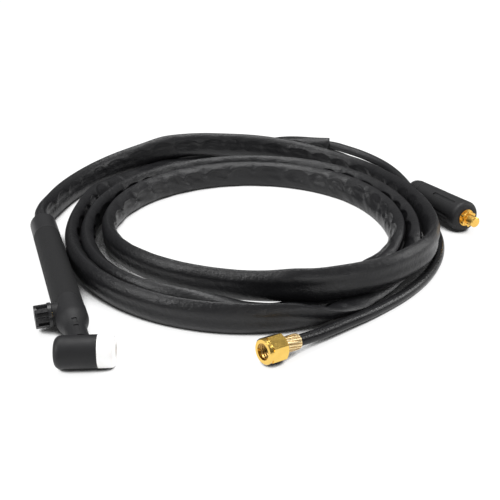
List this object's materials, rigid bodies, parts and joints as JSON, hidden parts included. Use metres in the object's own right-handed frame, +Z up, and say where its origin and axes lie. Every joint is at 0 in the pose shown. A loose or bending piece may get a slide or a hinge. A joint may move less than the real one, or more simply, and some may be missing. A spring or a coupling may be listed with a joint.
{
  "type": "tig torch",
  "caption": "Air-cooled TIG torch with hand valve, its sleeved line set wound in a coil, bayonet power plug and gas hose with swivel nut",
  "frame": {"origin": "under the middle of the handset's bounding box, on the surface that it lies on", "axes": "+Y along the handle towards its rear, +X on the side that the nozzle points to, +Z up"},
  "size_m": [0.384, 0.4018, 0.0359],
  "materials": {
    "silicone_black": "satin",
    "insulator_white": "satin",
    "brass": "machined",
    "housing_black": "satin",
    "grip_black": "stippled matte",
    "knob_black": "semi gloss",
    "copper": "drawn",
    "steel": "zinc plated",
    "seal": "matte",
    "ptfe": "satin",
    "bush_black": "matte",
    "sleeve_black": "semi gloss grained",
    "cable_black": "satin",
    "hose_black": "semi gloss braided",
    "boot_black": "matte",
    "pin_brass": "machined",
    "nut_gold": "polished",
    "ferrule_gold": "knurled"
  },
  "bodies": {
    "root": {"head_cover": "silicone_black", "cup_insulator": "insulator_white", "head_core": "brass", "valve_housing": "housing_black", "neck_tube": "copper", "valve_body": "brass", "gland_washer": "ptfe", "stem_o_ring": "seal", "packing_nut": "brass", "grip_tube": "grip_black", "gas_barb": "brass", "hose_clamp": "steel", "cable_terminal": "copper", "rear_bush": "bush_black", "protective_sleeve": "sleeve_black", "power_cable": "cable_black", "cable_conductor": "copper", "gas_hose": "hose_black", "plug_boot": "boot_black", "plug_pin": "pin_brass", "cable_ferrule": "copper", "clamp_screws": "steel", "hose_tail": "brass", "hose_seal": "ptfe", "hose_ferrule": "ferrule_gold"},
    "valve": {"valve_stem": "brass", "valve_knob": "knob_black", "knob_screw": "steel"},
    "gas_nut": {"hose_nut": "nut_gold"}
  },
  "joints": [
    {"name": "valve_turn", "type": "hinge", "parent": "root", "child": "valve", "pos_m": [-0.01745, -0.04363, 0.0112], "axis": [-1, 0, 0], "range_deg": [0, 540]},
    {"name": "nut_swivel", "type": "hinge", "parent": "root", "child": "gas_nut", "pos_m": [0.11835, -0.13322, 0.01032], "axis": [0.9496, 0.3012, -0.0872], "continuous": true}
  ]
}
